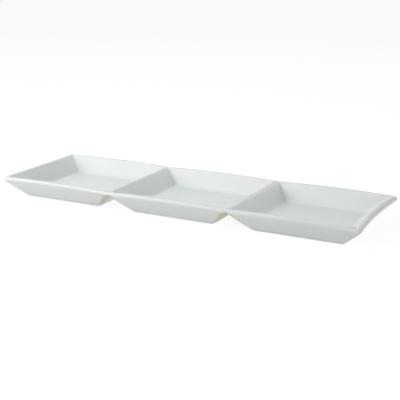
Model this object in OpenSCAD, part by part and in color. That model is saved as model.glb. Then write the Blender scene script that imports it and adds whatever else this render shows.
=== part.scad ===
// Relish tray: three flared, nearly square wells in a row, with two raised dividers between
// them. X runs along the tray, Y towards its back and Z up from the table. The tray is one
// casting, so its parts meet face to face where the clay runs on from one to the next.

/* [Tray] */
// Distance between the two crests, and so between the middles of neighbouring wells
well_pitch = 127; // [118:1:140]
// Depth of the tray from front to back, over the lips
tray_depth = 125.5; // [115:0.5:140]
// Height of the rim above the table at the corners
rim_h = 21.2; // [19:0.1:26]

/* [Rim] */
// Radius of the rounded lip
lip_r = 2.6; // [1.6:0.1:3]
// How far the lip of a long side rises in the middle of each well
side_rise = 1.25; // [0:0.05:3]
// How far the lip of an end rises in its middle
end_rise = 1; // [0:0.05:3]
// How far the lip of an end bows in at its middle
end_bow = 3.2; // [0:0.1:5]
// Radius of the tray's four corners, seen from above
rim_corner_r = 3.5; // [2:0.5:10]
// Radius of the slight belly of the outer walls, between the foot and the lip
wall_r = 200; // [60:5:400]

/* [Ends] */
// Distance from the middle of an end well to the end of the tray
end_reach = 64; // [59:0.5:74]
// Distance from the middle of an end well to the end of its foot, at the table
end_foot_reach = 43.8; // [39:0.1:50]
// Distance from the middle of an end well to where the end wall's slope reaches the floor
end_floor_reach = 41; // [38:0.5:47]

/* [Wells] */
// Height of the well's floor above the table
floor_top = 5.8; // [4:0.1:8]
// Length of the floor along the tray, where the walls' slopes reach it
floor_len = 88; // [76:1:94]
// Width of the floor across the tray, where the walls' slopes reach it
floor_wid = 90; // [76:1:94]
// Radius of the hollow where a wall runs into the floor
floor_fillet_r = 9; // [3:0.5:14]
// Radius of the floor's corners, seen from above
floor_corner_r = 5; // [3:0.5:12]

/* [Dividers] */
// Radius of a divider's rounded crest
ridge_r = 4; // [2:0.1:6]
// Depth from a divider's crest to the top of the groove under it
groove_drop = 6.5; // [5:0.1:8]
// Radius of a well's outer corners beside a divider, at the top of the groove
groove_corner_r = 8; // [2:0.5:12]
// Radius of a well's corners at the crest, the least that a corner has
crest_corner_r = 1; // [0.5:0.1:2]

/* [Feet] */
// Length of a foot along the tray, at the table
foot_len = 85; // [76:1:94]
// Width of a foot across the tray, at the table
foot_wid = 93; // [80:1:98]
// Height of the unglazed foot ring
foot_h = 1.8; // [1.2:0.1:2.6]
// Width of the foot ring on the table
foot_ring_w = 3.6; // [2.5:0.1:6]
// Radius of the foot's corners, seen from above
foot_corner_r = 2; // [1.5:0.5:10]
// Radius of the foot ring's worn lower edges
foot_edge_r = 0.7; // [0.3:0.1:1]

/* [Hidden] */

// Steps along a side, round a corner, up a wall, over half a lip, down a hollow and round a
// foot's edge
side_steps = 8;
corner_steps = 4;
wall_steps = 3;
lip_steps = 5;
hollow_steps = 4;
edge_steps = 3;

// Places of the wells, counted from the middle one
LEFT = -1;
MIDDLE = 0;
RIGHT = 1;

glaze_colour = [0.90, 0.93, 0.91];
bisque_colour = [0.86, 0.84, 0.79];

half_pitch = well_pitch / 2;
half_depth = tray_depth / 2;

// The wells end and the dividers begin on the flat floor, over the inner edge of the foot ring
seam_x = foot_len / 2 - foot_ring_w;
cut_size = 2 * (well_pitch + tray_depth);

// Over a divider the outer rings swing this far past the crest, and are drawn back to it
swing = 2 * foot_corner_r;

function mix(a, b, share) = a + (b - a) * share;
function ramp(t) = max(0, min(1, t));
function middle_of(points) = [for (p = points) 1] * points / len(points);
function on_circle(centre, r, angle) = centre + r * [cos(angle), sin(angle)];

// Outer wall with its belly: an arc from a foot's edge to a circle that it runs into. This
// gives the arc's centre and its angles at the top of the foot ring and at the circle.
function belly(start, centre, r) =
    let (
        v = centre - start,
        d = norm(v),
        along = (wall_r ^ 2 - (wall_r - r) ^ 2 + d ^ 2) / (2 * d),
        middle = start + (along * v + sqrt(wall_r ^ 2 - along ^ 2) * [-v.y, v.x]) / d,
        to_centre = centre - middle
    )
    [middle, asin((foot_h - middle.y) / wall_r), atan2(to_centre.y, to_centre.x)];
function outer_wall(arc) =
    [for (i = [0:wall_steps - 1]) on_circle(arc[0], wall_r, mix(arc[1], arc[2], i / wall_steps))];

// Slope of a straight wall from a point to a circle that it touches from above
function slope_over(point, centre, r) =
    let (v = centre - point) atan2(v.y, v.x) + asin(r / norm(v));

// A section is a list of points, each a distance from the well's middle and a height.
// The inside of a wall runs from just past the crest down its slope and hollow to the floor.
function inside(centre, r, floor_half) =
    let (
        slope = slope_over([floor_half, floor_top], centre, r),
        hollow = [floor_half - floor_fillet_r * tan(slope / 2), floor_top + floor_fillet_r]
    )
    concat(
        [for (i = [1:lip_steps]) on_circle(centre, r, mix(90, slope + 90, i / lip_steps))],
        [for (i = [0:hollow_steps])
            on_circle(hollow, floor_fillet_r, mix(slope - 90, -90, i / hollow_steps))]
    );

// A free wall runs from the top of the foot ring over the lip to the floor
function free_wall(rim_half, foot_half, floor_half) =
    let (
        lip = [rim_half - lip_r, rim_h - lip_r],
        arc = belly([foot_half, 0], lip, lip_r)
    )
    concat(
        outer_wall(arc),
        [for (i = [0:lip_steps]) on_circle(lip, lip_r, mix(arc[2], 90, i / lip_steps))],
        inside(lip, lip_r, floor_half)
    );

// Half a divider runs from the top of the foot ring under the crest, and over it to the floor
function divider_wall(foot_half, floor_half) =
    let (groove_top = rim_h - groove_drop)
    concat(
        outer_wall(belly([foot_half, 0], [half_pitch, groove_top], 0)),
        [for (i = [0:lip_steps])
            [half_pitch + swing * sin(180 * i / lip_steps), mix(groove_top, rim_h, i / lip_steps)]],
        inside([half_pitch, rim_h - ridge_r], ridge_r, floor_half)
    );

long_wall = free_wall(half_depth, foot_wid / 2, floor_wid / 2);
end_wall = free_wall(end_reach, end_foot_reach, end_floor_reach);
shared_wall = divider_wall(foot_len / 2, floor_len / 2);
last = len(long_wall) - 1;
crest = wall_steps + lip_steps;

// Radius of a well's corners at each point of a section: those of the tray, which follow its
// lip, and those beside a divider
inner_corners = [for (i = [crest + 1:last])
    mix(crest_corner_r, floor_corner_r, (i - crest) / (last - crest))];
tray_corners = concat(
    [for (i = [0:wall_steps - 1]) mix(foot_corner_r, rim_corner_r, i / wall_steps)],
    [for (i = [wall_steps:crest])
        max(crest_corner_r, rim_corner_r - (half_depth - long_wall[i].x))],
    inner_corners);
divider_corners = concat(
    [for (i = [0:wall_steps - 1]) mix(foot_corner_r, groove_corner_r, i / wall_steps)],
    [for (i = [0:lip_steps]) mix(groove_corner_r, crest_corner_r, i / lip_steps)],
    inner_corners);

function west_wall(place) = place == LEFT ? end_wall : shared_wall;
function east_wall(place) = place == RIGHT ? end_wall : shared_wall;
function west_reach(place) = place == LEFT ? end_reach : half_pitch;
function east_reach(place) = place == RIGHT ? end_reach : half_pitch;
function west_foot(place) = place == LEFT ? end_foot_reach : foot_len / 2;
function east_foot(place) = place == RIGHT ? end_foot_reach : foot_len / 2;
function west_corners(place) = place == LEFT ? tray_corners : divider_corners;
function east_corners(place) = place == RIGHT ? tray_corners : divider_corners;

// A lap round a well counts from 0 to 8: the east side takes the first count, the corner
// after it the second, and so on through north, west and south
lap = [for (quarter = [0:3]) each concat(
    [for (i = [0:side_steps - 1]) 2 * quarter + i / side_steps],
    [for (i = [0:corner_steps - 1]) 2 * quarter + 1 + i / corner_steps])];
north_middle = 2.5;
south_middle = 6.5;

// Point at t on a lap. West, east and long are the points that the walls' sections hold at
// one station, and the rim's rise and bow grow from none at the height low.
function lap_point(place, west, east, long, r_west, r_east, low, t) =
    let (
        angle = 90 * (ramp(t - 1) + ramp(t - 3) + ramp(t - 5) + ramp(t - 7)),
        to_east = 1 - ramp(t - 2) + ramp(t - 6),
        to_north = ramp(t) - ramp(t - 4),
        r = mix(r_west, r_east, to_east),
        along = mix(r_west - west.x, east.x - r_east, to_east) + r * cos(angle),
        across = mix(r - long.x, long.x - r, to_north) + r * sin(angle),
        x = max(-west_reach(place), min(east_reach(place), along)),

        // Share of the end's or divider's section, which grows round each corner
        turned = cos(angle) ^ 2,
        facing = sign(cos(angle)),
        height = mix(long.y, facing > 0 ? east.y : west.y, turned),
        lift = max(0, height - low) / (rim_h - low),
        at_end = facing == place ? 1 : 0,
        side_arch = 1 - (x / (x < 0 ? west_reach(place) : east_reach(place))) ^ 2,
        end_arch = at_end * (1 - (across / half_depth) ^ 2),
        rise = mix(side_rise * side_arch, end_rise * end_arch, turned)
    )
    [
        well_pitch * place + x - facing * lift * turned * end_bow * end_arch,
        across,
        height + lift * rise
    ];

function well_ring(place, i) =
    let (low = i < crest ? foot_h : floor_top)
    [for (t = lap) lap_point(
        place, west_wall(place)[i], east_wall(place)[i], long_wall[i],
        west_corners(place)[i], east_corners(place)[i], low, t)];

// Section of the foot ring, round its lower edges from its outer to its inner upper edge
function foot_section(foot_half, top) =
    let (
        slope = atan2(top.y, top.x - foot_half),
        outer = [foot_half - foot_edge_r * tan(slope / 2), foot_edge_r],
        inner = [foot_half - foot_ring_w + foot_edge_r, foot_edge_r]
    )
    concat(
        [top],
        [for (i = [0:edge_steps])
            on_circle(outer, foot_edge_r, mix(slope - 90, -90, i / edge_steps))],
        [for (i = [0:edge_steps])
            on_circle(inner, foot_edge_r, mix(-90, -180, i / edge_steps))],
        [[foot_half - foot_ring_w, foot_h]]
    );
long_foot = foot_section(foot_wid / 2, long_wall[0]);

function foot_lap(place, i) =
    let (
        west = foot_section(west_foot(place), west_wall(place)[0])[i],
        east = foot_section(east_foot(place), east_wall(place)[0])[i],
        r = max(foot_edge_r, foot_corner_r - max(0, foot_wid / 2 - long_foot[i].x))
    )
    [for (t = lap) lap_point(place, west, east, long_foot[i], r, r, foot_h, t)];

// Solid skin over rings of equal count. The rings close on each other in a loop, or the
// first and last are filled, from a point in their middle. The west half of a lap is split
// into triangles as the east half is in a mirror, so that neighbouring wells match.
module skin(rings, loop) {
    n = len(rings[0]);
    count = len(rings);
    walls = [for (i = [0:count - (loop ? 1 : 2)], j = [0:n - 1])
        let (
            a = i * n,
            b = (i + 1) % count * n,
            k = (j + 1) % n,
            in_west = lap[j] >= north_middle && lap[j] < south_middle
        )
        each in_west
            ? [[a + j, b + j, a + k], [b + j, b + k, a + k]]
            : [[a + j, b + j, b + k], [a + j, b + k, a + k]]];
    caps = [for (j = [0:n - 1])
        let (k = (j + 1) % n)
        each [[j, k, count * n], [(count - 1) * n + k, (count - 1) * n + j, count * n + 1]]];
    middles = [middle_of(rings[0]), middle_of(rings[count - 1])];
    polyhedron(
        concat([for (ring = rings) each ring], loop ? [] : middles),
        concat(walls, loop ? [] : caps));
}

// Whole well, out to the crests of the dividers beside it
module whole_well(place) {
    skin([for (i = [0:last]) well_ring(place, i)], false);
}

// What lies between two places along the tray
module between(from, to) {
    intersection() {
        children();
        translate([from, -cut_size / 2, -cut_size / 2])
            cube([to - from, cut_size, cut_size]);
    }
}

module well(place) {
    middle = well_pitch * place;
    color(glaze_colour)
        between(middle - (place == LEFT ? well_pitch : seam_x),
                middle + (place == RIGHT ? well_pitch : seam_x))
            whole_well(place);
}

// A divider stands on the crest between two wells and takes its two slopes from them
module divider(west_place) {
    middle = well_pitch * west_place + half_pitch;
    color(glaze_colour)
        union() {
            between(middle - half_pitch + seam_x, middle)
                whole_well(west_place);
            between(middle, middle + half_pitch - seam_x)
                whole_well(west_place + 1);
        }
}

module foot_ring(place) {
    color(bisque_colour)
        skin([for (i = [0:len(long_foot) - 1]) foot_lap(place, i)], true);
}

module left_well() well(LEFT);
module middle_well() well(MIDDLE);
module right_well() well(RIGHT);
module left_divider() divider(LEFT);
module right_divider() divider(MIDDLE);
module left_foot_ring() foot_ring(LEFT);
module middle_foot_ring() foot_ring(MIDDLE);
module right_foot_ring() foot_ring(RIGHT);

left_well();
middle_well();
right_well();
left_divider();
right_divider();
left_foot_ring();
middle_foot_ring();
right_foot_ring();
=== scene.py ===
# Relish tray: one casting of glazed porcelain with three flared wells, two raised dividers and
# three unglazed foot rings. X runs along the tray, Y towards its back and Z up from the table.
import math
from collections import namedtuple

import bmesh
import bpy
from mathutils import Matrix, Vector


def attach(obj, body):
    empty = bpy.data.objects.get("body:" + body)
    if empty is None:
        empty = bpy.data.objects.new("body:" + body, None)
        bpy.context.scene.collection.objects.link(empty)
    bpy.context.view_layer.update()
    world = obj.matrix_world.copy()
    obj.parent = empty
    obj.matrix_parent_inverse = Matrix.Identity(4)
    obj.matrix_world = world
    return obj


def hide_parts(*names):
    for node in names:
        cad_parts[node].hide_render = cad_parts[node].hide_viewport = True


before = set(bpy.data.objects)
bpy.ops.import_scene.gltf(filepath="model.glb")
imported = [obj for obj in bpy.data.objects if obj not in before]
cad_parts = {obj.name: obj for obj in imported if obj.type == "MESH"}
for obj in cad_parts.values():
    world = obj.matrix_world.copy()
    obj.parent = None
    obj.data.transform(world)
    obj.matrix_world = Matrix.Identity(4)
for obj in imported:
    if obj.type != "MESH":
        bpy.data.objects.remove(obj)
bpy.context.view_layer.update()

MM = 0.001
QUARTER = math.pi / 2
MERGE_GAP = 0.004 * MM
CUT_SNAP = 1e-7
SHARP_ANGLE = math.radians(50)

# Sizes of the tray in millimetres. Each is an input of the node trees. The two soft ones round
# a shoulder more than in the solids: on the east side of the right divider, towards the back,
# and along the east end's lip.
SIZES = {
    "well_pitch": 127.0,
    "tray_depth": 125.5,
    "rim_h": 21.2,
    "lip_r": 2.6,
    "side_rise": 1.25,
    "end_rise": 1.0,
    "end_bow": 3.2,
    "rim_corner_r": 3.5,
    "wall_r": 200.0,
    "end_reach": 64.0,
    "end_foot_reach": 43.8,
    "end_floor_reach": 41.0,
    "floor_top": 5.8,
    "floor_len": 88.0,
    "floor_wid": 90.0,
    "floor_fillet_r": 9.0,
    "floor_corner_r": 5.0,
    "ridge_r": 4.0,
    "soft_ridge_r": 10.5,
    "soft_shoulder_r": 6.0,
    "groove_drop": 6.5,
    "groove_corner_r": 8.0,
    "crest_corner_r": 1.0,
    "foot_len": 85.0,
    "foot_wid": 93.0,
    "foot_h": 1.8,
    "foot_ring_w": 3.6,
    "foot_corner_r": 2.0,
    "foot_edge_r": 0.7,
    "waviness": 0.10,
    "waviness_scale": 55.0,
}
LEFT, MIDDLE, RIGHT = -1, 0, 1

# Counts in a lap round a well, and stretches in the section of the casting and of a foot ring,
# with the steps in each. The casting's section reaches its crest after three stretches.
LAP_COUNTS, LAP_STEPS = 8, 22
SECTION_STRETCHES, SECTION_STEPS = 7, 10
RING_STRETCHES, RING_STEPS = 6, 5
CREST = 3.0


# Numbers in a node tree, so that the rule of a shape can be written as a formula

class Field:
    """A number that a node tree works out at each point of a mesh."""

    def __init__(self, tree, socket):
        self.tree = tree
        self.socket = socket

    def __add__(self, other):
        return maths("ADD", self, other)

    def __radd__(self, other):
        return maths("ADD", other, self)

    def __sub__(self, other):
        return maths("SUBTRACT", self, other)

    def __rsub__(self, other):
        return maths("SUBTRACT", other, self)

    def __mul__(self, other):
        return maths("MULTIPLY", self, other)

    def __rmul__(self, other):
        return maths("MULTIPLY", other, self)

    def __truediv__(self, other):
        return maths("DIVIDE", self, other)

    def __neg__(self):
        return maths("MULTIPLY", self, -1.0)


def connect(tree, value, socket):
    """Puts a field, a node's socket or a plain value into a socket."""
    if isinstance(value, Field):
        tree.links.new(value.socket, socket)
    elif isinstance(value, bpy.types.NodeSocket):
        tree.links.new(value, socket)
    else:
        socket.default_value = value


def maths(operation, *values, clamp=False):
    tree = next(value.tree for value in values if isinstance(value, Field))
    node = tree.nodes.new("ShaderNodeMath")
    node.operation = operation
    node.use_clamp = clamp
    for value, socket in zip(values, node.inputs):
        connect(tree, value, socket)
    return Field(tree, node.outputs[0])


def cosine(angle):
    return maths("COSINE", angle)


def sine(angle):
    return maths("SINE", angle)


def root(value):
    return maths("SQRT", value)


def least(a, b):
    return maths("MINIMUM", a, b)


def most(a, b):
    return maths("MAXIMUM", a, b)


def above(a, b):
    """1 where a is greater than b, and 0 elsewhere."""
    return maths("GREATER_THAN", a, b)


def ramp(t):
    """t kept between 0 and 1."""
    return maths("ADD", t, 0.0, clamp=True)


def mix(a, b, share):
    return a + (b - a) * share


# Sections of the tray's walls. A spot of a section is a distance out from the well's middle
# and a height up from the table.

Spot = namedtuple("Spot", "out up")


def mix_spots(a, b, share):
    return Spot(mix(a.out, b.out, share), mix(a.up, b.up, share))


def on_circle(centre, r, angle):
    return Spot(centre.out + r * cosine(angle), centre.up + r * sine(angle))


def along_stretches(v, stretches):
    """Value at v, where each stretch gives its values for a share from 0 to 1 of one count."""
    value = stretches[0](ramp(v))
    for count, stretch in enumerate(stretches[1:], 1):
        later = above(v, float(count))
        here = stretch(ramp(v - float(count)))
        if isinstance(value, Spot):
            value = mix_spots(value, here, later)
        else:
            value = mix(value, here, later)
    return value


def belly(s, start, centre, r):
    """Arc of an outer wall, from a foot's edge to a circle that it runs into: its centre, and
    its angles at the top of the foot ring and at the circle."""
    out, up = centre.out - start.out, centre.up - start.up
    d = root(out * out + up * up)
    along = (s.wall_r * s.wall_r - (s.wall_r - r) * (s.wall_r - r) + d * d) / (d * 2.0)
    off = root(s.wall_r * s.wall_r - along * along)
    middle = Spot(start.out + (along * out - off * up) / d, start.up + (along * up + off * out) / d)
    first = maths("ARCSINE", (s.foot_h - middle.up) / s.wall_r)
    last = maths("ARCTAN2", centre.up - middle.up, centre.out - middle.out)
    return middle, first, last


def inside_stretches(s, centre, r, floor):
    """From the crest over the inner half of the lip, down the slope and the hollow, and in to
    the middle of the floor."""
    out, up = centre.out - floor, centre.up - s.floor_top
    slope = maths("ARCTAN2", up, out) + maths("ARCSINE", r / root(out * out + up * up))
    hollow = Spot(floor - s.floor_fillet_r * maths("TANGENT", slope / 2.0),
                  s.floor_top + s.floor_fillet_r)
    slope_top = on_circle(centre, r, slope + QUARTER)
    slope_end = on_circle(hollow, s.floor_fillet_r, slope - QUARTER)
    return [
        lambda share: on_circle(centre, r, mix(QUARTER, slope + QUARTER, share)),
        lambda share: mix_spots(slope_top, slope_end, share),
        lambda share: on_circle(hollow, s.floor_fillet_r, mix(slope - QUARTER, -QUARTER, share)),
        lambda share: Spot(hollow.out * (1.0 - share), s.floor_top + share * 0.0),
    ]


def outside_stretches(s, arc):
    """From the middle of the underside out to the top of the foot ring, and up the wall."""
    middle, first, last = arc
    wall_foot = on_circle(middle, s.wall_r, first)
    return [
        lambda share: Spot(wall_foot.out * share, s.foot_h + share * 0.0),
        lambda share: on_circle(middle, s.wall_r, mix(first, last, share)),
    ]


def free_wall(s, reach, foot, floor, shoulder_r):
    """A wall with a lip, whose inner half can have a radius of its own."""
    lip = Spot(reach - s.lip_r, s.rim_h - s.lip_r)
    shoulder = Spot(lip.out, s.rim_h - shoulder_r)
    arc = belly(s, Spot(foot, foot * 0.0), lip, s.lip_r)
    return [
        *outside_stretches(s, arc),
        lambda share: on_circle(lip, s.lip_r, mix(arc[2], QUARTER, share)),
        *inside_stretches(s, shoulder, shoulder_r, floor),
    ]


def divider_wall(s, foot, floor, ridge_r):
    """Half a divider. Between the groove under it and its crest the section swings past the
    crest, and is drawn back to it."""
    groove_top = s.rim_h - s.groove_drop
    swing = s.foot_corner_r * 2.0
    arc = belly(s, Spot(foot, foot * 0.0), Spot(s.half_pitch, groove_top), 0.0)
    crest = Spot(s.half_pitch, s.rim_h - ridge_r)
    return [
        *outside_stretches(s, arc),
        lambda share: Spot(s.half_pitch + swing * sine(share * math.pi),
                           mix(groove_top, s.rim_h, share)),
        *inside_stretches(s, crest, ridge_r, floor),
    ]


# Radii of a well's corners, seen from above, along the stretches of a section

def inner_corners(s):
    """From the crest down to the floor in three stretches, and in to the floor's middle."""
    third = 1.0 / 3.0
    return [
        lambda share: mix(s.crest_corner_r, s.floor_corner_r, share * third),
        lambda share: mix(s.crest_corner_r, s.floor_corner_r, (share + 1.0) * third),
        lambda share: mix(s.crest_corner_r, s.floor_corner_r, (share + 2.0) * third),
        lambda share: s.floor_corner_r * (1.0 - share),
    ]


def tray_corners(s, long_wall, long_spot):
    edge = long_wall[1](maths("ADD", s.foot_h * 0.0, 1.0))
    rim_r = s.rim_corner_r - (s.half_depth - edge.out)
    return [
        lambda share: s.foot_corner_r * share,
        lambda share: mix(s.foot_corner_r, rim_r, share),
        lambda share: most(s.crest_corner_r, s.rim_corner_r - (s.half_depth - long_spot.out)),
        *inner_corners(s),
    ]


def divider_corners(s):
    return [
        lambda share: s.foot_corner_r * share,
        lambda share: mix(s.foot_corner_r, s.groove_corner_r, share),
        lambda share: mix(s.groove_corner_r, s.crest_corner_r, share),
        *inner_corners(s),
    ]


def at_ends(place):
    """1 where a well has the tray's west end, and 1 where it has the east end."""
    return above(-place, 0.5), above(place, 0.5)


def lap_angle(t):
    """Angle round a corner at the point t on a lap, which stands still along the sides."""
    return (ramp(t - 1.0) + ramp(t - 3.0) + ramp(t - 5.0) + ramp(t - 7.0)) * QUARTER


def lap_place(s, place, t, west, east, long, r_west, r_east, low):
    """Place of the point at t on a lap round a well, which counts from 0 to 8: the east side
    takes the first count, the corner after it the second, and so on through north, west and
    south. The rim's rise and bow grow from none at the height low."""
    angle = lap_angle(t)
    to_east = 1.0 - ramp(t - 2.0) + ramp(t - 6.0)
    to_north = ramp(t) - ramp(t - 4.0)
    facing = cosine(angle)
    r = mix(r_west, r_east, to_east)
    along = mix(r_west - west.out, east.out - r_east, to_east) + r * facing
    across = mix(r - long.out, long.out - r, to_north) + r * sine(angle)

    west_end, east_end = at_ends(place)
    east_reach = mix(s.half_pitch, s.end_reach, east_end)
    west_reach = mix(s.half_pitch, s.end_reach, west_end)
    x = most(-west_reach, least(east_reach, along))

    turned = facing * facing
    eastward = above(facing, 0.0)
    height = mix(long.up, mix(west.up, east.up, eastward), turned)
    lift = most(0.0, height - low) / (s.rim_h - low)
    at_end = mix(west_end, east_end, eastward)
    reach = mix(west_reach, east_reach, above(x, 0.0))
    side_arch = 1.0 - (x / reach) * (x / reach)
    end_arch = at_end * (1.0 - (across / s.half_depth) * (across / s.half_depth))
    rise = mix(s.side_rise * side_arch, s.end_rise * end_arch, turned)
    bow = lift * turned * maths("SIGN", facing) * s.end_bow * end_arch
    return s.well_pitch * place + x - bow, across, height + lift * rise, x


# Node trees

class Sizes:
    """The tree's inputs by name, and the halves that are worked out from them."""

    def __init__(self, tree):
        source = tree.nodes.new("NodeGroupInput")
        for name in SIZES:
            setattr(self, name, Field(tree, source.outputs[label(name)]))
        self.half_pitch = self.well_pitch / 2.0
        self.half_depth = self.tray_depth / 2.0
        self.place = Field(tree, source.outputs["Place"])


def label(name):
    return name.replace("_", " ").capitalize()


def new_tree(name):
    tree = bpy.data.node_groups.new(name, "GeometryNodeTree")
    tree.interface.new_socket("Geometry", in_out="OUTPUT", socket_type="NodeSocketGeometry")
    for size in SIZES:
        tree.interface.new_socket(label(size), in_out="INPUT", socket_type="NodeSocketFloat")
    tree.interface.new_socket("Place", in_out="INPUT", socket_type="NodeSocketFloat")
    return tree, Sizes(tree)


def add(tree, kind, settings=(), **inputs):
    """New node with its settings and its inputs, named with underscores for spaces."""
    node = tree.nodes.new(kind)
    for name, value in dict(settings).items():
        setattr(node, name, value)
    for name, value in inputs.items():
        connect(tree, value, node.inputs[name.replace("_", " ")])
    return node


def position_of(tree):
    position = add(tree, "GeometryNodeInputPosition")
    split = add(tree, "ShaderNodeSeparateXYZ", Vector=position.outputs[0])
    return [Field(tree, socket) for socket in split.outputs]


def combine(tree, x, y, z):
    return add(tree, "ShaderNodeCombineXYZ", X=x, Y=y, Z=z).outputs[0]


def blank_sheet(tree, sheets, stretches, steps):
    """Flat sheets whose x counts a lap from 0 to 8, whose y counts the stretches of a section,
    and whose z is the place of their well."""
    grid = add(tree, "GeometryNodeMeshGrid", Size_X=float(LAP_COUNTS), Size_Y=float(stretches),
               Vertices_X=LAP_COUNTS * LAP_STEPS + 1, Vertices_Y=stretches * steps + 1)
    moved = add(tree, "GeometryNodeTransform", Geometry=grid.outputs["Mesh"],
                Translation=(LAP_COUNTS / 2.0, stretches / 2.0, 0.0))
    if sheets == 1:
        return moved.outputs[0]
    line = add(tree, "GeometryNodeMeshLine", settings={"mode": "END_POINTS"}, Count=sheets,
               Start_Location=(0.0, 0.0, float(LEFT)), Offset=(0.0, 0.0, float(RIGHT)))
    copies = add(tree, "GeometryNodeInstanceOnPoints", Points=line.outputs[0],
                 Instance=moved.outputs[0])
    return add(tree, "GeometryNodeRealizeInstances", Geometry=copies.outputs[0]).outputs[0]


def store(tree, geometry, name, value):
    node = add(tree, "GeometryNodeStoreNamedAttribute", Geometry=geometry, Name=name, Value=value)
    return node.outputs[0]


def read(tree, name):
    return Field(tree, add(tree, "GeometryNodeInputNamedAttribute", Name=name).outputs[0])


def finish_tree(tree, geometry, material):
    joined = add(tree, "GeometryNodeMergeByDistance", Geometry=geometry, Distance=MERGE_GAP)
    smooth = add(tree, "GeometryNodeSetShadeSmooth", Geometry=joined.outputs[0])
    real = add(tree, "GeometryNodeRealizeInstances", Geometry=smooth.outputs[0])
    painted = add(tree, "GeometryNodeSetMaterial", Geometry=real.outputs[0], Material=material)
    output = add(tree, "NodeGroupOutput")
    tree.links.new(painted.outputs[0], output.inputs[0])
    return tree


def glaze_depth_and_painted_light(v):
    """How deep the glaze lies: 0 over the lip, a half down the walls, and up to 1 on the floor.
    The same value paints the lips darker and the floors lighter, as painted shade and painted
    light.
    """
    here = v * 0.0
    return along_stretches(v, [
        lambda share: here + 0.5,
        lambda share: here + 0.5,
        lambda share: mix(here + 0.5, 0.0, share),
        lambda share: mix(here, 0.5, share),
        lambda share: here + 0.5,
        lambda share: mix(here + 0.5, 0.95, ramp(share * 1.6 - 0.4)),
        lambda share: mix(here + 0.95, 1.0, ramp(share * 3.0)),
    ])


def groove_shade_share(place, t, v):
    """How far a point lies up the side of a groove, from a half at the foot to 1 at the top. It
    sets how much painted shade the glaze gets there.
    """
    facing = cosine(lap_angle(t))
    at_end = mix(*at_ends(place), above(facing, 0.0))
    to_side = ramp(maths("ABSOLUTE", facing) * 2.0)
    short_of_crest = 1.0 - above(v, CREST - 0.05)
    up_side = mix(0.5, 1.0, ramp(v - 1.0)) * above(v, 1.0) * short_of_crest
    return up_side * to_side * (1.0 - at_end)


def casting_tree(material):
    """The glazed casting: three wells out to the crests, joined there into dividers."""
    tree, s = new_tree("glazed casting")
    sheets = blank_sheet(tree, 3, SECTION_STRETCHES, SECTION_STEPS)
    t, v, place = position_of(tree)

    long_wall = free_wall(s, s.half_depth, s.foot_wid / 2.0, s.floor_wid / 2.0, s.lip_r)
    end_wall = free_wall(s, s.end_reach, s.end_foot_reach, s.end_floor_reach, s.lip_r)
    softer_end_wall = free_wall(
        s, s.end_reach, s.end_foot_reach, s.end_floor_reach, s.soft_shoulder_r)
    shared_wall = divider_wall(s, s.foot_len / 2.0, s.floor_len / 2.0, s.ridge_r)
    softer_shared_wall = divider_wall(s, s.foot_len / 2.0, s.floor_len / 2.0, s.soft_ridge_r)
    long = along_stretches(v, long_wall)
    end = along_stretches(v, end_wall)
    softer_end = along_stretches(v, softer_end_wall)
    shared = along_stretches(v, shared_wall)
    softer_shared = along_stretches(v, softer_shared_wall)
    r_end = along_stretches(v, tray_corners(s, long_wall, long))
    r_shared = along_stretches(v, divider_corners(s))

    west_end, east_end = at_ends(place)
    low = mix(s.foot_h, s.floor_top, above(v, CREST))
    northward = 1.0 - ramp(t - 4.0)
    west = mix_spots(mix_spots(shared, softer_shared, east_end * northward), end, west_end)
    east = mix_spots(shared, softer_end, east_end)
    x, y, z, x_in_well = lap_place(
        s, place, t, west, east, long,
        mix(r_shared, r_end, west_end), mix(r_shared, r_end, east_end), low)
    touch = 0.002 * MM
    at_west_crest = above(-x_in_well, s.half_pitch - touch) * (1.0 - west_end)
    at_east_crest = above(x_in_well, s.half_pitch - touch) * (1.0 - east_end)

    kept = store(tree, sheets, "glaze_depth_and_painted_light", glaze_depth_and_painted_light(v))
    kept = store(tree, kept, "groove_shade_share", groove_shade_share(place, t, v))
    kept = store(tree, kept, "at_crest", at_west_crest + at_east_crest)
    shaped = add(tree, "GeometryNodeSetPosition", Geometry=kept, Position=combine(tree, x, y, z))
    opened = add(tree, "GeometryNodeDeleteGeometry", settings={"domain": "FACE"},
                 Geometry=shaped.outputs[0], Selection=above(read(tree, "at_crest"), 0.999))
    joined = add(tree, "GeometryNodeMergeByDistance", Geometry=opened.outputs[0],
                 Distance=MERGE_GAP)
    return finish_tree(tree, waved(tree, s, joined.outputs[0]), material)


def waved(tree, s, geometry):
    """Lifts and sinks the surface by the slight unevenness of hand-dipped ware, but not at the
    foot. Nothing moves sideways, so the wells still meet at the crests."""
    x, y, z = position_of(tree)
    waves = add(tree, "ShaderNodeTexNoise", Scale=1.0, Detail=1.0, Vector=combine(
        tree, x / s.waviness_scale, y / s.waviness_scale, z / s.waviness_scale))
    clear_of_foot = ramp((z - s.foot_h) / (s.rim_h - s.foot_h) * 4.0)
    amount = (Field(tree, waves.outputs[0]) - 0.5) * 2.0 * s.waviness * clear_of_foot
    moved = add(tree, "GeometryNodeSetPosition", Geometry=geometry,
                Offset=combine(tree, 0.0, 0.0, amount))
    return moved.outputs[0]


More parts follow.
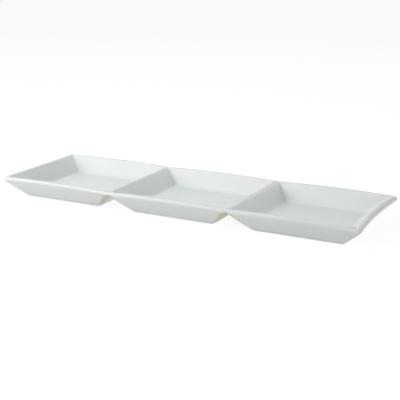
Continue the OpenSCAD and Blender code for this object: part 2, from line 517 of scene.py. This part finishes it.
def ring_section(s, foot, top):
    """Section of a foot ring: from its upper outer edge round its lower edges to its upper
    inner edge, and back along its top."""
    slope = maths("ARCTAN2", top.up, top.out - foot)
    outer = Spot(foot - s.foot_edge_r * maths("TANGENT", slope / 2.0), s.foot_edge_r)
    inner = Spot(foot - s.foot_ring_w + s.foot_edge_r, s.foot_edge_r)
    outer_top = on_circle(outer, s.foot_edge_r, slope - QUARTER)
    outer_end = Spot(outer.out, s.foot_edge_r * 0.0)
    inner_start = Spot(inner.out, s.foot_edge_r * 0.0)
    inner_edge = foot - s.foot_ring_w
    return [
        lambda share: mix_spots(top, outer_top, share),
        lambda share: on_circle(outer, s.foot_edge_r, mix(slope - QUARTER, -QUARTER, share)),
        lambda share: mix_spots(outer_end, inner_start, share),
        lambda share: on_circle(inner, s.foot_edge_r, mix(-QUARTER, -2.0 * QUARTER, share)),
        lambda share: Spot(inner_edge + share * 0.0, mix(s.foot_edge_r, s.foot_h, share)),
        lambda share: Spot(mix(inner_edge, top.out, share), s.foot_h + share * 0.0),
    ]


def foot_ring_tree(material):
    """A foot ring, whose upper outer edge is where the casting's walls begin."""
    tree, s = new_tree("foot ring")
    sheet = blank_sheet(tree, 1, RING_STRETCHES, RING_STEPS)
    t, v, _ = position_of(tree)
    start = s.foot_h * 0.0
    long_wall = free_wall(s, s.half_depth, s.foot_wid / 2.0, s.floor_wid / 2.0, s.lip_r)
    end_wall = free_wall(s, s.end_reach, s.end_foot_reach, s.end_floor_reach, s.lip_r)
    shared_wall = divider_wall(s, s.foot_len / 2.0, s.floor_len / 2.0, s.ridge_r)
    long_top, end_top, shared_top = (wall[1](start) for wall in (long_wall, end_wall, shared_wall))
    long = along_stretches(v, ring_section(s, s.foot_wid / 2.0, long_top))
    end = along_stretches(v, ring_section(s, s.end_foot_reach, end_top))
    shared = along_stretches(v, ring_section(s, s.foot_len / 2.0, shared_top))
    west, east = (mix_spots(shared, end, at_end) for at_end in at_ends(s.place))
    inset = most(0.0, s.foot_wid / 2.0 - long.out)
    r = most(s.foot_edge_r, s.foot_corner_r - inset)
    x, y, z, _ = lap_place(s, s.place, t, west, east, long, r, r, s.foot_h)
    shaped = add(tree, "GeometryNodeSetPosition", Geometry=sheet, Position=combine(tree, x, y, z))
    return finish_tree(tree, shaped.outputs[0], material)


def grown(name, tree, place=MIDDLE):
    """Plain mesh that a tree makes, with the tree's inputs set from the sizes."""
    carrier = bpy.data.objects.new(name, bpy.data.meshes.new(name))
    bpy.context.scene.collection.objects.link(carrier)
    modifier = carrier.modifiers.new(name, "NODES")
    modifier.node_group = tree
    sockets = {item.name: item.identifier for item in tree.interface.items_tree
               if item.in_out == "INPUT"}
    for size, value in SIZES.items():
        modifier[sockets[label(size)]] = value * MM
    modifier[sockets["Place"]] = float(place)
    bpy.context.view_layer.update()
    evaluated = carrier.evaluated_get(bpy.context.evaluated_depsgraph_get())
    mesh = bpy.data.meshes.new_from_object(evaluated)
    carrier.modifiers.remove(modifier)
    bpy.data.objects.remove(carrier)
    mesh.name = name
    return mesh


# Pieces

def face_out(edit):
    """Turns the faces of a closed mesh over where they face inward."""
    if edit.calc_volume(signed=True) < 0:
        bmesh.ops.reverse_faces(edit, faces=edit.faces)


def cut_between(mesh, name, west, east):
    """Part of a closed mesh between two places along the tray, closed where it is cut. It isn't
    cut on a side whose place is None."""
    made = mesh.copy()
    made.name = name
    edit = bmesh.new()
    edit.from_mesh(made)
    for place, normal in ((west, (-1, 0, 0)), (east, (1, 0, 0))):
        if place is None:
            continue
        cut = bmesh.ops.bisect_plane(
            edit, geom=edit.verts[:] + edit.edges[:] + edit.faces[:], dist=CUT_SNAP,
            plane_co=(place, 0, 0), plane_no=normal, clear_outer=True)
        edges = [item for item in cut["geom_cut"] if isinstance(item, bmesh.types.BMEdge)]
        filled = bmesh.ops.edgeloop_fill(edit, edges=edges)
        bmesh.ops.triangulate(edit, faces=filled["faces"])
    face_out(edit)
    edit.to_mesh(made)
    edit.free()
    made.set_sharp_from_angle(angle=SHARP_ANGLE)
    return made


def add_piece(mesh, name, node):
    piece = bpy.data.objects.new(name, mesh)
    bpy.context.scene.collection.objects.link(piece)
    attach(piece, "root")
    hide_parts(node)


def add_casting(material):
    whole = grown("casting", casting_tree(material))
    pitch = SIZES["well_pitch"] * MM
    seam = (SIZES["foot_len"] / 2 - SIZES["foot_ring_w"]) * MM
    cuts = [None, -pitch + seam, -seam, seam, pitch - seam, None]
    names = ["left_well", "left_divider", "middle_well", "right_divider", "right_well"]
    for name, west, east in zip(names, cuts[:-1], cuts[1:]):
        mesh = cut_between(whole, name, west, east)
        add_piece(mesh, name + "_glazed", name)


def add_foot_rings(material):
    tree = foot_ring_tree(material)
    for name, place in (("left", LEFT), ("middle", MIDDLE), ("right", RIGHT)):
        node = name + "_foot_ring"
        mesh = grown(node, tree, place)
        edit = bmesh.new()
        edit.from_mesh(mesh)
        face_out(edit)
        edit.to_mesh(mesh)
        edit.free()
        mesh.set_sharp_from_angle(angle=SHARP_ANGLE)
        add_piece(mesh, node + "_bisque", node)


# Materials. Colours are given as they show on a screen, from 0 to 255.

# Painted shade: the thin glaze over the lips is made darker to hold back the light that falls on
# them.
THIN_GLAZE_PAINTED_DARKER = (220, 223, 221)
EVEN_GLAZE = (229, 233, 230)
# Painted light: the pooled glaze on the floors is made lighter against the shade that the walls
# cast there; its green is the pooled glaze's own.
POOLED_GLAZE_PAINTED_LIGHTER = (233, 242, 237)
# Painted shade and a painted warm reflection up the sides of the grooves.
GROOVE_PAINTED_SHADE = (208, 211, 188)
# Painted light: the glaze low on the foot rings is made lighter against the shade next to the
# table.
FOOT_GLAZE_PAINTED_LIGHTER = (242, 245, 243)
PINHOLE = (150, 140, 126)
CLAY_PALE = (234, 230, 222)
CLAY_DARK = (222, 216, 206)
CLAY_RUBBED = (188, 185, 180)

# Sizes of what the materials show
POOLING = 45 * MM
GROOVE_SHADE_PATCHES = 18 * MM
GLOSS_CHANGE = 22 * MM
FINE_PEEL, WIDE_PEEL, PEEL_DEPTH = 3.5 * MM, 14 * MM, 0.012 * MM
PINHOLE_SPACING, PINHOLE_R = 9 * MM, 0.22 * MM
CLAY_GRAIN, CLAY_CLOUD, CLAY_DEPTH = 0.45 * MM, 12 * MM, 0.02 * MM
RUBBING, RUBBED_FULLY, RUBBED_UP_TO = 5 * MM, 0.02 * MM, 0.2 * MM
GLAZE_LINE, GLAZE_LINE_SWAY, GLAZE_LINE_CHANGE = 0.3 * MM, 0.4 * MM, 7 * MM
GLAZE_LINE_BLUR = 0.05 * MM


def linear(value):
    """Light that a screen gives for a value from 0 to 255, where full light is 1."""
    value = value / 255
    return value / 12.92 if value <= 0.04045 else ((value + 0.055) / 1.055) ** 2.4


def colour(red, green, blue):
    """Colour as it shows on a screen, from 0 to 255, in the units of a shader."""
    return (linear(red), linear(green), linear(blue), 1.0)


def new_material(name):
    material = bpy.data.materials.new(name)
    material.use_nodes = True
    tree = material.node_tree
    shader = next(node for node in tree.nodes if node.type == "BSDF_PRINCIPLED")
    return material, tree, shader


def object_place(tree):
    """Place on the object in metres."""
    return add(tree, "ShaderNodeTexCoord").outputs["Object"]


def noise(tree, size, detail=2.0):
    """Noise from about 0 to 1, with features of a size in metres."""
    node = add(tree, "ShaderNodeTexNoise", Scale=1.0 / size, Detail=detail,
               Vector=object_place(tree))
    return Field(tree, node.outputs[0])


def attribute(tree, name):
    node = add(tree, "ShaderNodeAttribute", settings={"attribute_name": name})
    return Field(tree, node.outputs["Fac"])


def step_up(value, low, high):
    """0 below low, 1 above high, and an even slope between them."""
    return ramp((value - low) / (high - low))


def blend_colours(tree, share, first, second):
    node = add(tree, "ShaderNodeMix", settings={"data_type": "RGBA"})
    connect(tree, share, node.inputs[0])
    connect(tree, first, node.inputs[6])
    connect(tree, second, node.inputs[7])
    return node.outputs[2]


def specks(tree, spacing, r, share_kept):
    """1 on small round specks. They lie about a spacing apart, and only a share of them is kept."""
    cells = add(tree, "ShaderNodeTexVoronoi", Scale=1.0 / spacing, Vector=object_place(tree))
    apart = Field(tree, cells.outputs["Distance"]) * spacing
    chance = add(tree, "ShaderNodeSeparateColor", Color=cells.outputs["Color"])
    kept = above(share_kept, Field(tree, chance.outputs[0]))
    return (1.0 - step_up(apart, 0.5 * r, r)) * kept


def bumped(tree, height, distance):
    bump = add(tree, "ShaderNodeBump", Strength=1.0, Distance=distance, Height=height)
    return bump.outputs[0]


def glaze_material():
    """Clear white glaze: neutral where it thins over the lips, a cool pale green where it pools
    on the floors. The lips are painted darker and the floors lighter, as painted shade and
    painted light for how the light falls on them. Up in the grooves it is a painted shade,
    darker and olive towards the top, with a painted warm reflection. It has a slight orange
    peel, and a few pinholes that show the clay."""
    material, tree, shader = new_material("porcelain_glaze")
    shader.inputs["IOR"].default_value = 1.5
    # Glaze depth, which also paints the lips darker and the floors lighter: painted shade and
    # painted light.
    pooling_and_painted_light = attribute(tree, "glaze_depth_and_painted_light") + (noise(tree, POOLING) - 0.5) * 0.3
    glaze = blend_colours(tree, step_up(pooling_and_painted_light, 0.0, 0.5), colour(*THIN_GLAZE_PAINTED_DARKER), colour(*EVEN_GLAZE))
    glaze = blend_colours(tree, step_up(pooling_and_painted_light, 0.5, 1.0), glaze, colour(*POOLED_GLAZE_PAINTED_LIGHTER))
    # Painted shade and a painted warm reflection up the sides of the grooves, darker towards the
    # top.
    painted_groove_shade = ramp(attribute(tree, "groove_shade_share") * mix(0.8, 1.2, noise(tree, GROOVE_SHADE_PATCHES)))
    glaze = blend_colours(tree, painted_groove_shade, glaze, colour(*GROOVE_PAINTED_SHADE))
    pinholes = specks(tree, PINHOLE_SPACING, PINHOLE_R, 0.35)
    glaze = blend_colours(tree, pinholes * 0.45, glaze, colour(*PINHOLE))
    connect(tree, glaze, shader.inputs["Base Color"])
    connect(tree, 0.17 + noise(tree, GLOSS_CHANGE) * 0.09, shader.inputs["Roughness"])
    peel = noise(tree, FINE_PEEL, detail=1.0) * 0.5 + noise(tree, WIDE_PEEL, detail=1.0)
    connect(tree, bumped(tree, peel - pinholes * 0.3, PEEL_DEPTH), shader.inputs["Normal"])
    return material


def bisque_material():
    """Foot ring: glazed down its sides to an uneven line just above the table, and below it bare
    fired clay with a fine grain, rubbed grey where it stands. Low on its sides the glaze is
    painted lighter, as painted light against the shade next to the table."""
    material, tree, shader = new_material("unglazed_foot")
    place = add(tree, "ShaderNodeSeparateXYZ", Vector=object_place(tree))
    up = Field(tree, place.outputs[2])
    grain = noise(tree, CLAY_GRAIN, detail=3.0)
    pale = step_up(noise(tree, CLAY_CLOUD) + (grain - 0.5) * 0.6, 0.3, 0.7)
    clay = blend_colours(tree, pale, colour(*CLAY_DARK), colour(*CLAY_PALE))
    near_table = 1.0 - step_up(up, RUBBED_FULLY, RUBBED_UP_TO)
    rubbed = near_table * step_up(noise(tree, RUBBING), 0.4, 0.6)
    clay = blend_colours(tree, rubbed * 0.5, clay, colour(*CLAY_RUBBED))
    line = GLAZE_LINE + (noise(tree, GLAZE_LINE_CHANGE) - 0.5) * GLAZE_LINE_SWAY
    glazed = step_up(up - line, -GLAZE_LINE_BLUR, GLAZE_LINE_BLUR)
    # Painted light: the glaze low on the ring is lighter, against the shade next to the table.
    painted_light_low = 1.0 - step_up(up, SIZES["foot_edge_r"] * MM, SIZES["foot_h"] * MM)
    side = blend_colours(tree, painted_light_low, colour(*EVEN_GLAZE), colour(*FOOT_GLAZE_PAINTED_LIGHTER))
    connect(tree, blend_colours(tree, glazed, clay, side), shader.inputs["Base Color"])
    connect(tree, mix(0.9 - grain * 0.1, 0.22, glazed), shader.inputs["Roughness"])
    height = grain * (1.0 - glazed) + glazed * 1.5
    connect(tree, bumped(tree, height, CLAY_DEPTH), shader.inputs["Normal"])
    return material


# Camera, light and table

# Fitted to the photograph: angles in degrees, distance, target and lens in millimetres
CAMERA = {
    "azimuth": 26.11, "elevation": 15.49, "roll": 0.78,
    "distance": 894.5, "target": (6.37, 0.0, 7.58), "lens": 79.98,
}


def add_camera():
    azimuth, elevation, roll = (
        math.radians(CAMERA[name]) for name in ("azimuth", "elevation", "roll"))
    back = Vector((
        math.sin(azimuth) * math.cos(elevation),
        -math.cos(azimuth) * math.cos(elevation),
        math.sin(elevation)))
    right = (-back).cross(Vector((0, 0, 1))).normalized()
    up = right.cross(-back)
    rolled_right = math.cos(roll) * right + math.sin(roll) * up
    rolled_up = -math.sin(roll) * right + math.cos(roll) * up
    data = bpy.data.cameras.new("camera")
    data.sensor_width = 36
    data.lens = CAMERA["lens"]
    data.clip_start = 0.05
    data.clip_end = 20
    camera = bpy.data.objects.new("camera", data)
    bpy.context.scene.collection.objects.link(camera)
    axes = (rolled_right, rolled_up, back)
    place = Vector(CAMERA["target"]) * MM + back * CAMERA["distance"] * MM
    camera.matrix_world = Matrix.LocRotScale(place, Matrix(axes).transposed(), None)
    bpy.context.scene.camera = camera


# Each softbox looks at the tray. It has its place and size in metres, its power in watts and its
# colour: the light from the right is a little greener in the photograph.
WHITE = (1.0, 1.0, 1.0)
PALE_GREEN = (0.94, 1.0, 0.965)
SOFTBOXES = [
    ("front_left", (-0.9, -1.0, 0.6), (1.0, 0.8), 14.3, WHITE),
    ("near_left", (-0.6, -0.1, 0.8), (0.6, 0.6), 1.4, WHITE),
    ("overhead", (-0.25, 0.05, 0.9), (1.0, 0.5), 1.6, WHITE),
    ("front_right", (1.3, -0.9, 0.5), (1.2, 0.8), 2.75, PALE_GREEN),
    ("low_right", (1.2, 0.0, 0.15), (0.8, 0.25), 2.9, PALE_GREEN),
    ("back", (-0.3, 1.2, 1.1), (2.0, 1.2), 4.5, WHITE),
]
WORLD_LIGHT = 0.12

# Table: its reach from the tray in metres, how pale it is for the light that it throws on the
# tray, and how pale and how bright by itself for the camera and in reflections
TABLE_REACH = 8
TABLE_THROWN, TABLE_SEEN, TABLE_GLOW = 0.85, 0.12, 0.93


def add_area_light(name, place, size, power, light_colour):
    data = bpy.data.lights.new(name, "AREA")
    data.color = light_colour
    data.shape = "RECTANGLE"
    data.size, data.size_y = size
    data.energy = power
    light = bpy.data.objects.new(name, data)
    bpy.context.scene.collection.objects.link(light)
    light.location = place
    light.rotation_mode = "QUATERNION"
    light.rotation_quaternion = (-Vector(place)).to_track_quat("-Z", "Y")


def seen_white(tree):
    """1 for what the camera, a reflection or clear glass sees."""
    path = add(tree, "ShaderNodeLightPath")
    rays = [Field(tree, path.outputs[name])
            for name in ("Is Camera Ray", "Is Glossy Ray", "Is Transmission Ray")]
    return most(most(rays[0], rays[1]), rays[2])


def add_world(strength):
    world = bpy.data.worlds.new("studio")
    world.use_nodes = True
    tree = world.node_tree
    background = next(node for node in tree.nodes if node.type == "BACKGROUND")
    background.inputs["Color"].default_value = (1, 1, 1, 1)
    connect(tree, mix(strength, 1.0, seen_white(tree)), background.inputs["Strength"])
    bpy.context.scene.world = world


def add_floor():
    mesh = bpy.data.meshes.new("table")
    edit = bmesh.new()
    bmesh.ops.create_grid(edit, x_segments=1, y_segments=1, size=TABLE_REACH)
    edit.to_mesh(mesh)
    edit.free()
    floor = bpy.data.objects.new("table", mesh)
    bpy.context.scene.collection.objects.link(floor)

    material, tree, shader = new_material("pale_table")
    tree.nodes.remove(shader)
    matte, shaded = (
        add(tree, "ShaderNodeBsdfDiffuse", Color=(grey, grey, grey, 1))
        for grey in (TABLE_THROWN, TABLE_SEEN))
    glow = add(tree, "ShaderNodeEmission", Color=(1, 1, 1, 1), Strength=TABLE_GLOW)
    seen = add(tree, "ShaderNodeAddShader")
    tree.links.new(shaded.outputs[0], seen.inputs[0])
    tree.links.new(glow.outputs[0], seen.inputs[1])
    choice = add(tree, "ShaderNodeMixShader", Fac=seen_white(tree))
    tree.links.new(matte.outputs[0], choice.inputs[1])
    tree.links.new(seen.outputs[0], choice.inputs[2])
    output = next(node for node in tree.nodes if node.type == "OUTPUT_MATERIAL")
    tree.links.new(choice.outputs[0], output.inputs["Surface"])
    floor.data.materials.append(material)


add_camera()
add_casting(glaze_material())
add_foot_rings(bisque_material())
add_floor()
add_world(WORLD_LIGHT)
for softbox in SOFTBOXES:
    add_area_light(*softbox)
bpy.context.scene.view_settings.view_transform = "Standard"
